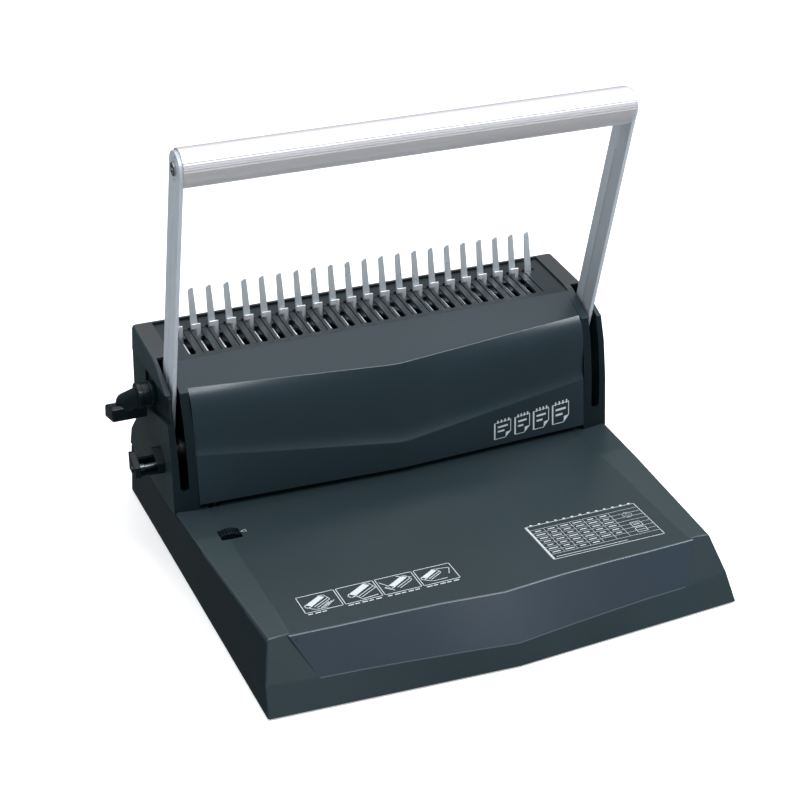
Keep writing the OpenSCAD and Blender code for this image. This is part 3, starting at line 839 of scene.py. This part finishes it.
def wrap(bm):
    """Leaves only the tight skin round what is in bm."""
    out = bmesh.ops.convex_hull(bm, input=list(bm.verts))
    inside = {v for v in out["geom_interior"] if isinstance(v, bmesh.types.BMVert)}
    bmesh.ops.delete(bm, geom=list(inside), context="VERTS")


def lever_hub():
    bm = bmesh.new()
    _, y, z = LEVER_AXIS
    for x0, x1, radius in ((-193.4, -189.4, 10.0), (-189.8, -183.0, 9.1), (-183.4, -179.5, 9.9)):
        rod(bm, (x0, y, z), (x1, y, z), radius, "Y", 64)
    return mesh_of("lever_hub", bm)


def lever_neck():
    """Domed neck between the hub and the grip."""
    bm = bmesh.new()
    ball(bm, -191.6, 1.5, -1.5, 7.6, 0.5)
    ball(bm, -199.4, 12.0, -11.4, 8.6, 0.78)
    ball(bm, -193.0, 14.0, -12.0, 8.0, 0.5)
    wrap(bm)
    return mesh_of("lever_neck", bm)


def lever_grip():
    """Flat-sided grip, drawn from the side as (back, up) from the lever's axis."""
    side = [(3.5, -21.0), (3.5, -11.0), (6.0, -9.2), (24.2, -15.2), (26.6, -17.7), (28.0, -27.3)]
    left, right = [[(x, LEVER_AXIS.y + back, LEVER_AXIS.z + up) for back, up in side]
                   for x in (-211.5, -184.5)]
    faces = [left, right[::-1]]
    strip(faces, left + left[:1], right + right[:1])
    return surface("lever_grip", faces)


for me, radius in ((lever_hub(), 0.7), (lever_neck(), 0.0), (lever_grip(), 1.0)):
    piece = new_piece(me.name, me, BLACK, "opener_lever", ["comb_lever"])
    if radius:
        round_edges(piece, radius, 3, 25.0)
        bake(piece)
    shade(piece, 50.0)


# ---- Printing on the deck and on the brow ----------------------------------------------


class Ink:
    """Thin printed shapes, drawn in two coordinates and laid on a surface by place(u, v, h)."""

    def __init__(self, place, thick=0.05):
        self.place = place
        self.thick = thick
        self.bm = bmesh.new()

    def patch(self, ring):
        low = [self.bm.verts.new(self.place(u, v, 0.0)) for u, v in ring]
        high = [self.bm.verts.new(self.place(u, v, self.thick)) for u, v in ring]
        self.bm.faces.new(high)
        self.bm.faces.new(low[::-1])
        for i in range(len(ring)):
            j = (i + 1) % len(ring)
            self.bm.faces.new([low[i], low[j], high[j], high[i]])

    def bar(self, u0, v0, u1, v1):
        self.patch([(u0, v0), (u1, v0), (u1, v1), (u0, v1)])

    def line(self, a, b, w):
        """A stroke of width w with square ends."""
        d = (Vector(b) - Vector(a)).normalized() * (w / 2)
        n = Vector((-d.y, d.x))
        a, b = Vector(a) - d, Vector(b) + d
        self.patch([tuple(a - n), tuple(b - n), tuple(b + n), tuple(a + n)])

    def path(self, points, w, closed=False):
        for a, b in zip(points, points[1:] + (points[:1] if closed else [])):
            if a != b:
                self.line(a, b, w)

    def box(self, u0, v0, u1, v1, w):
        self.path([(u0, v0), (u1, v0), (u1, v1), (u0, v1)], w, True)

    def ring(self, u, v, r, w, n=20):
        self.path([(u + r * math.cos(2 * math.pi * k / n), v + r * math.sin(2 * math.pi * k / n))
                   for k in range(n)], w, True)

    def finish(self, name):
        bmesh.ops.recalc_face_normals(self.bm, faces=self.bm.faces)
        new_piece(name, mesh_of(name, self.bm), INK)


def on_deck(u, v, h):
    return at(u, v, DECK_Z + h)


def pictogram(ink, a, b, kind):
    """A tiny generic sketch of a binder seen from a corner, in a box from a to b."""
    def p(u, v):
        return (a[0] + (b[0] - a[0]) * u, a[1] + (b[1] - a[1]) * v)

    def path(points, w):
        ink.path([p(*q) for q in points], w)

    dx, dy = ((0.0, 0.0), (0.10, 0.0), (0.12, 0.02), (-0.02, 0.12))[kind]
    k = (1.0, 1.12, 1.0, 0.85)[kind]

    def q(u, v):
        return (dx + u * k, dy + v * k)

    ink.patch([p(*q(0.10, 0.46)), p(*q(0.24, 0.30)), p(*q(0.70, 0.72)), p(*q(0.56, 0.86))])
    path([q(0.10, 0.46), q(0.05, 0.36), q(0.12, 0.24), q(0.24, 0.30)], 0.7)
    path([q(0.56, 0.86), q(0.70, 0.86), q(0.74, 0.72)], 0.6)
    path([q(0.30, 0.24), q(0.76, 0.62)], 0.55)
    path([q(0.36, 0.16), q(0.80, 0.52), q(0.74, 0.72)], 0.55)
    if kind == 0:
        for n in range(3):
            path([q(0.46 + 0.09 * n, 0.10 + 0.02 * n), q(0.72 + 0.08 * n, 0.36 + 0.02 * n)], 0.55)
        path([q(0.12, 0.24), q(0.30, 0.06), q(0.60, 0.06)], 0.55)
    if kind == 1:
        path([q(0.24, 0.30), q(0.34, 0.04), q(0.74, 0.10)], 0.7)
    if kind == 2:
        path([(0.04, 0.78), (0.22, 0.44), (0.08, 0.40), (0.30, 0.12)], 0.6)
        path([(0.58, 0.96), (0.72, 0.84), (0.94, 0.72)], 0.6)
    if kind == 3:
        path([(0.62, 0.84), (0.94, 0.76), (0.84, 0.40)], 0.5)
        path([(0.10, 0.30), (0.30, 0.12), (0.70, 0.14)], 0.55)


def pictogram_strip():
    ink = Ink(on_deck)
    x0, x1, y0, y1 = -139.0, -20.0, -154.0, -133.5
    step = (x1 - x0) / 4
    for i in range(4):
        a = x0 + i * step
        ink.box(a + 0.9, y0, a + step - 0.9, y1, 0.55)
        pictogram(ink, (a + 1.5, y0 + 0.8), (a + step - 1.5, y1 - 0.8), i)
        for k in range((3, 5, 5, 5)[i]):
            u = a + 2.0 + 5.2 * k
            ink.bar(u, y0 - 2.7, u + 3.4 + 0.8 * ((k + i) % 2), y0 - 1.7)
    ink.finish("deck_pictograms")


def size_table():
    ink = Ink(on_deck)
    x0, x1, y0, y1 = 51.0, 143.0, -159.0, -112.0
    ink.bar(x0, y0, x0 + 1.6, y1)
    ink.box(x0, y0, x1, y1, 0.5)
    for k in range(13):
        ink.bar(x0 + 4.5 + 6.9 * k, y1 - 0.6, x0 + 6.6 + 6.9 * k, y1 + 1.7)
    columns = [x0 + 1.6] + [x0 + 1.6 + 10.9 * k for k in range(1, 7)] + [x1]
    rows = [y1 - 5.5 - 5.0 * k for k in range(8)]
    for x in columns[1:-1]:
        ink.line((x, rows[0]), (x, rows[-1]), 0.28)
    for y in rows:
        ink.line((x0 + 1.6, y), (x1, y), 0.28)
    for c in range(6):
        for r in range(7):
            mid = (columns[c] + columns[c + 1]) / 2
            y = rows[r] - 2.5
            w = 2.4 + ((c * 5 + r * 3) % 4) * 0.45
            if r < 6 or c < 4:
                ink.bar(mid - w, y - 0.5, mid + w, y + 0.5)
    mid = (columns[6] + x1) / 2
    ink.ring(mid, rows[1] - 2.5, 3.6, 0.55)
    ink.ring(mid, rows[1] - 2.5, 1.6, 0.45, 14)
    for k in (0, 1):
        ink.box(mid - 4.2, rows[4] - 4.5 - 8.0 * k, mid + 4.2, rows[4] + 1.5 - 8.0 * k, 0.5)
        ink.bar(mid - 2.6, rows[4] - 2.2 - 8.0 * k, mid + 2.6, rows[4] - 1.4 - 8.0 * k)
    ink.line((x0 + 4, y0 + 2.6), (x1 - 30, y0 + 2.6), 0.5)
    ink.finish("deck_table")


def on_brow(u, t, h):
    """u across, t from the brow's foot (0) to its lower crest (1)."""
    s = vee(u)
    y, z = between((between(BROW_FOOT, s), between(BROW_CREST, s)), t)
    return at(u, y - h, z)


def notepads():
    ink = Ink(on_brow, 0.06)
    for u0, u1 in ((80.1, 95.5), (98.6, 112.8), (115.6, 130.4), (133.2, 149.0)):
        low, high = 0.17, 0.63
        ink.patch([(u0, low), (u0 + 1.3, low), (u0 + 1.3, high), (u0, high)])
        thin = 0.6
        ink.patch([(u0, high - 0.014), (u1, high - 0.014), (u1, high), (u0, high)])
        ink.patch([(u0, low), (u1 - 5.0, low), (u1 - 5.0, low + 0.014), (u0, low + 0.014)])
        ink.patch([(u1 - thin, low + 0.15), (u1, low + 0.15), (u1, high), (u1 - thin, high)])
        ink.patch([(u1 - 5.0, low), (u1, low + 0.15), (u1 - 4.6, low + 0.14)])
        for k in range(4):
            c = u0 + 3.4 + k * (u1 - u0 - 5.6) / 3
            ink.patch([(c - 0.6, high - 0.03), (c + 0.6, high - 0.03), (c + 0.6, high + 0.05),
                       (c - 0.6, high + 0.05)])
        for k in range(2):
            t = high - 0.16 - 0.12 * k
            ink.patch([(u0 + 3.4, t), (u1 - 3.0 - 3 * k, t), (u1 - 3.0 - 3 * k, t + 0.045),
                       (u0 + 3.4, t + 0.045)])
    ink.finish("brow_notepads")


def wheel_pointer():
    ink = Ink(on_deck)
    ink.path([(-145.0, -34.4), (-140.6, -36.0), (-140.6, -32.8)], 0.3, True)
    ink.finish("wheel_pointer")


pictogram_strip()
size_table()
notepads()
wheel_pointer()


# ---- Stage, light and camera -------------------------------------------------------------


# In metres, and in watts for the lights
FLOOR_HALF = 40.0
FLOOR_GLOW = 0.42
AIM = (0.0, 0.0, 0.15)


def floor():
    bm = bmesh.new()
    bmesh.ops.create_grid(bm, x_segments=8, y_segments=8, size=FLOOR_HALF)
    o = placed("floor", mesh_of("floor", bm))
    s = Shader("floor_paper", (0.92, 0.92, 0.92), 0.9, specular=0.1)
    s.tint(s.noise(1.5), (0.94, 0.94, 0.94))
    s.bsdf.inputs["Emission Color"].default_value = (1.0, 1.0, 1.0, 1.0)
    s.bsdf.inputs["Emission Strength"].default_value = FLOOR_GLOW
    o.data.materials.append(s.mat)
    o.visible_glossy = False


def area(name, place, target, size, power, colour):
    data = bpy.data.lights.new(name, "AREA")
    data.shape = "RECTANGLE"
    data.size, data.size_y = size
    data.energy = power
    data.color = colour
    o = placed(name, data)
    o.location = place
    o.rotation_euler = (Vector(target) - Vector(place)).to_track_quat("-Z", "Y").to_euler()
    return o


def lights():
    area("top_box", (0.1, 0.2, 2.6), (0.0, 0.0, 0.1), (5.0, 4.0), 88.0, (0.97, 0.985, 1.0))
    area("key_box", (0.91, -1.17, 2.13), AIM, (1.3, 0.6), 27.0, (0.93, 0.965, 1.0))
    # a narrow card that shows in glossy reflections and lights nothing else
    card = area("crest_card", (0.91, -1.20, 2.10), AIM, (1.5, 0.5), 30.0, (0.90, 0.95, 1.0))
    card.visible_camera = False
    card.visible_diffuse = False


def studio():
    """Room around the set: dark at the horizon, brighter overhead."""
    world = bpy.data.worlds.new("studio")
    bpy.context.scene.world = world
    world.use_nodes = True
    tree = world.node_tree
    coord = tree.nodes.new("ShaderNodeTexCoord")
    split = tree.nodes.new("ShaderNodeSeparateXYZ")
    ramp = tree.nodes.new("ShaderNodeValToRGB")
    rise = tree.nodes.new("ShaderNodeMapRange")
    tree.links.new(coord.outputs["Generated"], split.inputs[0])
    rise.inputs["From Min"].default_value = -1.0
    tree.links.new(split.outputs["Z"], rise.inputs["Value"])
    tree.links.new(rise.outputs["Result"], ramp.inputs["Fac"])
    # place from straight down (0) to straight up (1), and brightness there
    stops = [(0.0, 0.10), (0.44, 0.08), (0.52, 0.10), (0.60, 0.20), (0.73, 0.42), (1.0, 0.45)]
    while len(ramp.color_ramp.elements) < len(stops):
        ramp.color_ramp.elements.new(0.5)
    for e, (place, level) in zip(ramp.color_ramp.elements, stops):
        e.position = place
        e.color = (0.94 * level, 0.98 * level, 1.02 * level, 1.0)
    back = tree.nodes["Background"]
    tree.links.new(ramp.outputs["Color"], back.inputs["Color"])
    back.inputs["Strength"].default_value = 1.0


# The camera's place in millimetres, and its angles in degrees
CAMERA_AT = (-497.8, -1158.1, 769.1)
AZIMUTH, ELEVATION, ROLL = -23.18, 27.653, 0.133


def camera():
    """Seen from the front left, a little above the handle."""
    az, el, roll = (math.radians(angle) for angle in (AZIMUTH, ELEVATION, ROLL))
    back = Vector((math.sin(az) * math.cos(el), -math.cos(az) * math.cos(el), math.sin(el)))
    level = (-back).cross(Vector((0, 0, 1))).normalized()
    upright = level.cross(-back)
    right = math.cos(roll) * level + math.sin(roll) * upright
    up = math.cos(roll) * upright - math.sin(roll) * level
    data = bpy.data.cameras.new("camera")
    data.lens = 83.59
    data.sensor_width = 36.0
    data.clip_start = 0.05
    data.clip_end = 60.0
    data.dof.use_dof = False
    o = placed("camera", data)
    turn = Matrix((right, up, back)).transposed().to_4x4()
    o.matrix_world = Matrix.Translation(at(*CAMERA_AT)) @ turn
    bpy.context.scene.camera = o


floor()
lights()
studio()
camera()
bpy.context.scene.view_settings.view_transform = "Standard"
bpy.context.scene.view_settings.look = "None"
